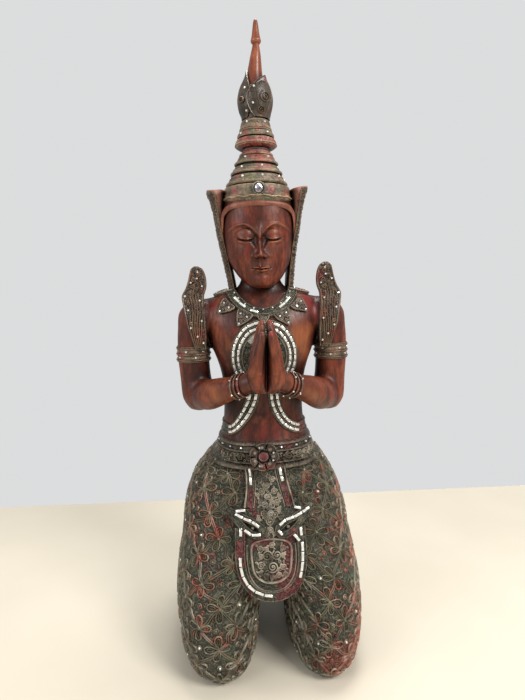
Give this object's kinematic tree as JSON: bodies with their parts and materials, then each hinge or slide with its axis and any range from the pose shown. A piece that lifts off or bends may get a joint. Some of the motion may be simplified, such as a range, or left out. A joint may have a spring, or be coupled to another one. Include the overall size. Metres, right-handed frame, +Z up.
{
  "type": "carved wooden kneeling attendant figure",
  "caption": "Carved and lacquered wooden figure kneeling with joined palms, tall spired crown, inlaid mirror-glass rows and a flat underside.",
  "frame": {"origin": "on the floor, on the middle plane, midway between the knees' front and the toes' back", "axes": "+Z up along the body, -Y the way the figure faces, +X to the viewer's right when its face is seen"},
  "size_m": [0.2824, 0.3098, 0.94],
  "materials": {
    "carved_wood": "stained red-brown, dark wash in the recesses, semi-gloss lacquer, olive-green painted relief, worn",
    "mirror_glass": "small silvered glass tiles and cut stones set in dark putty"
  },
  "bodies": {
    "root": {"carved_figure": "carved_wood", "crown_stone": "mirror_glass", "collar_tiles": "mirror_glass", "cord_tiles_ring_outer_left": "mirror_glass", "cord_tiles_ring_inner_left": "mirror_glass", "cord_tiles_tail_outer_left": "mirror_glass", "cord_tiles_tail_inner_left": "mirror_glass", "panel_tiles_strip_left": "mirror_glass", "panel_tiles_wing_left": "mirror_glass", "panel_tiles_apron_left": "mirror_glass", "cord_tiles_ring_outer_right": "mirror_glass", "cord_tiles_ring_inner_right": "mirror_glass", "cord_tiles_tail_outer_right": "mirror_glass", "cord_tiles_tail_inner_right": "mirror_glass", "panel_tiles_strip_right": "mirror_glass", "panel_tiles_wing_right": "mirror_glass", "panel_tiles_apron_right": "mirror_glass"}
  },
  "joints": []
}
